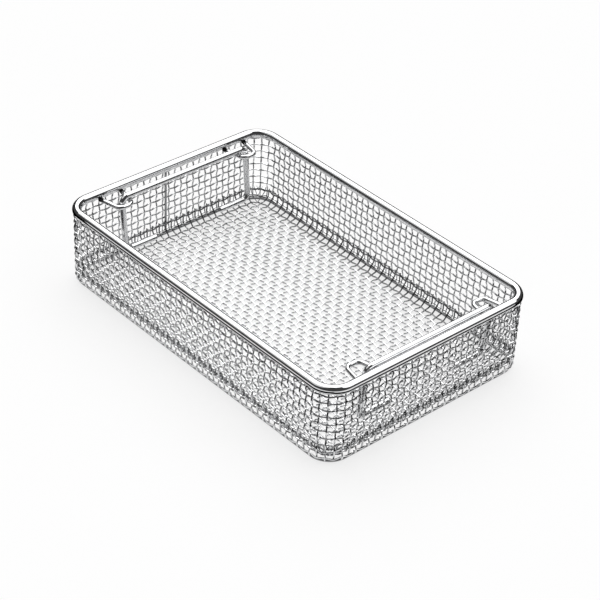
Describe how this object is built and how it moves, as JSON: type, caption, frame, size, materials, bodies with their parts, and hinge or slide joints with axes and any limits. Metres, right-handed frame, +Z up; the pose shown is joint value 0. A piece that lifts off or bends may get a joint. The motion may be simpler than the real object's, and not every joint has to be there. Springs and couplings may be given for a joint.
{
  "type": "autoclave basket",
  "caption": "Shallow rectangular stainless steel wire mesh basket with a round bar rim and a lift-up drop handle at each end, for holding small items in a steriliser.",
  "frame": {"origin": "on the surface that the basket stands on, under the middle of its outline", "axes": "+X along the basket's long side, towards the right handle; +Y towards its back long side; +Z up"},
  "size_m": [0.254, 0.165, 0.055],
  "materials": {
    "polished_bar": "electropolished stainless steel bar",
    "wire_cloth": "bright drawn stainless steel wire, woven",
    "handle_wire": "electropolished stainless steel wire"
  },
  "bodies": {
    "basket": {"rim": "polished_bar", "wall_mesh": "wire_cloth", "floor_mesh": "wire_cloth", "eye_left_front": "handle_wire", "eye_left_back": "handle_wire", "eye_right_front": "handle_wire", "eye_right_back": "handle_wire"},
    "handle_left": {"handle_left": "handle_wire"},
    "handle_right": {"handle_right": "handle_wire"}
  },
  "joints": [
    {"name": "left_handle_slide", "type": "slide", "parent": "basket", "child": "handle_left", "axis": [-0.1045, 0, 0.9945], "range_m": [0, 0.0298]},
    {"name": "right_handle_slide", "type": "slide", "parent": "basket", "child": "handle_right", "axis": [0.1045, 0, 0.9945], "range_m": [0, 0.0298]}
  ]
}
